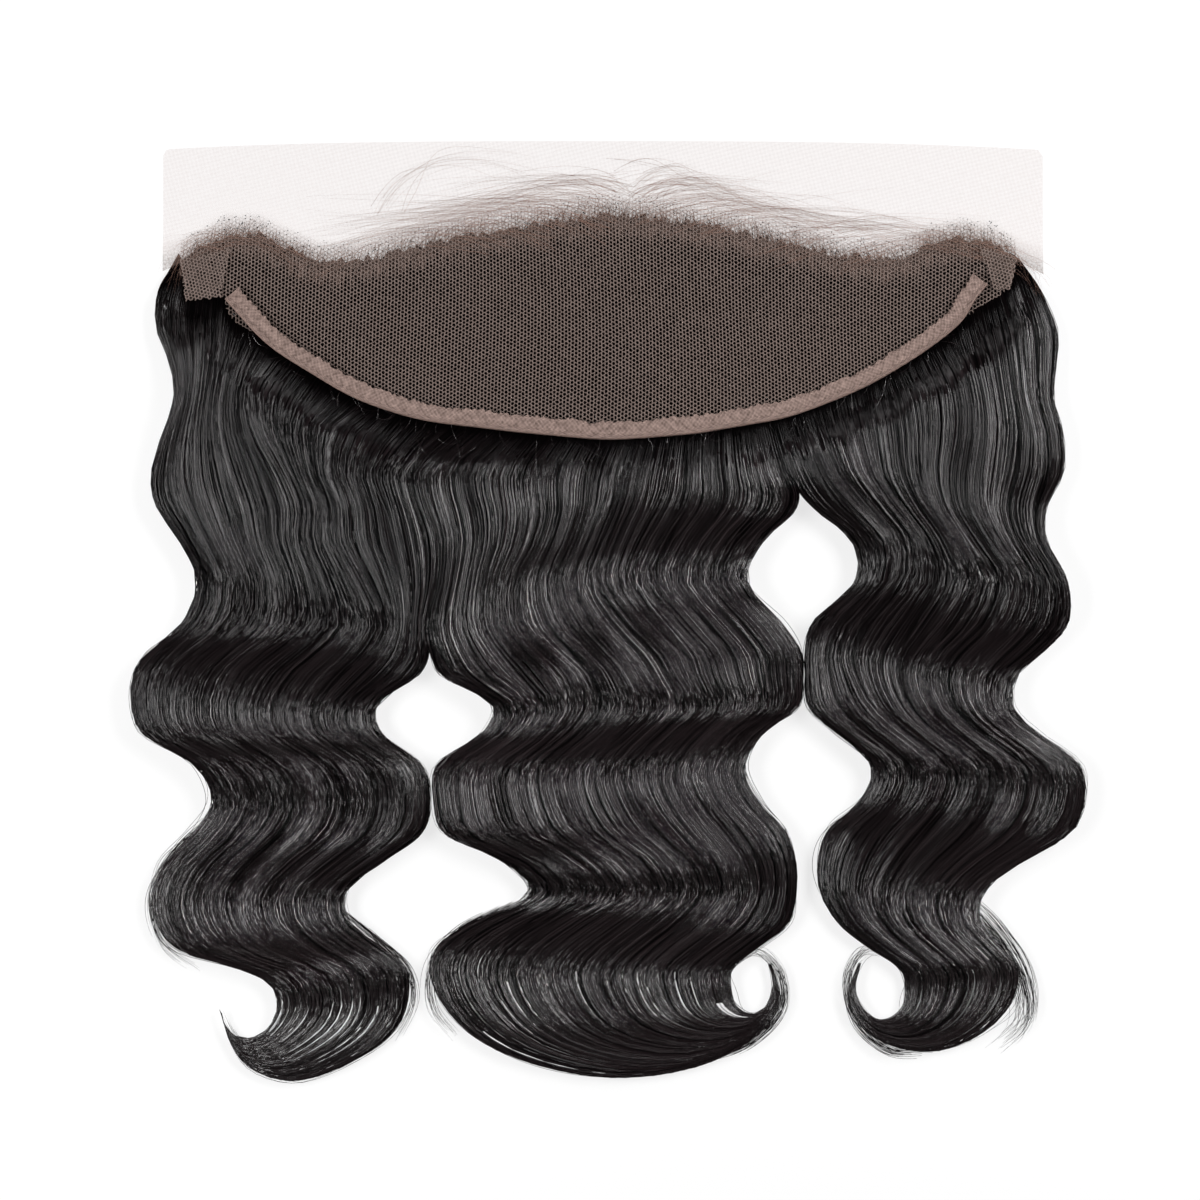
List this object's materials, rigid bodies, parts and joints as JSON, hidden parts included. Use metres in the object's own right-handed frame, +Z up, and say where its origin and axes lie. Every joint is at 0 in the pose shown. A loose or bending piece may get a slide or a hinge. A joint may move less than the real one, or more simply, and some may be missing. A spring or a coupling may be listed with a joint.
{
  "type": "lace frontal",
  "caption": "Lace frontal hair piece lying flat: sheer front margin, hex net crescent, sewn ribbon edge, doubled net at the ears and long wavy dark hanks spreading below.",
  "frame": {"origin": "on the surface that the piece lies on, under the middle of its whole extent", "axes": "+Z up, away from the surface and out of the inner side of the lace; +Y towards the sheer front edge; +X towards the ear that is on the right in that view"},
  "size_m": [0.376, 0.3706, 0.0133],
  "materials": {
    "net": "matte knitted hex net, sheer in front of the hairline",
    "ribbon": "matte folded lace ribbon",
    "hair": "soft satin sheen, natural black brown"
  },
  "bodies": {
    "root": {"lace_sheet": "net", "ear_tab_left": "net", "ear_tab_right": "net", "edge_band": "ribbon", "hair_left": "hair", "hair_center": "hair", "hair_right": "hair"}
  },
  "joints": []
}
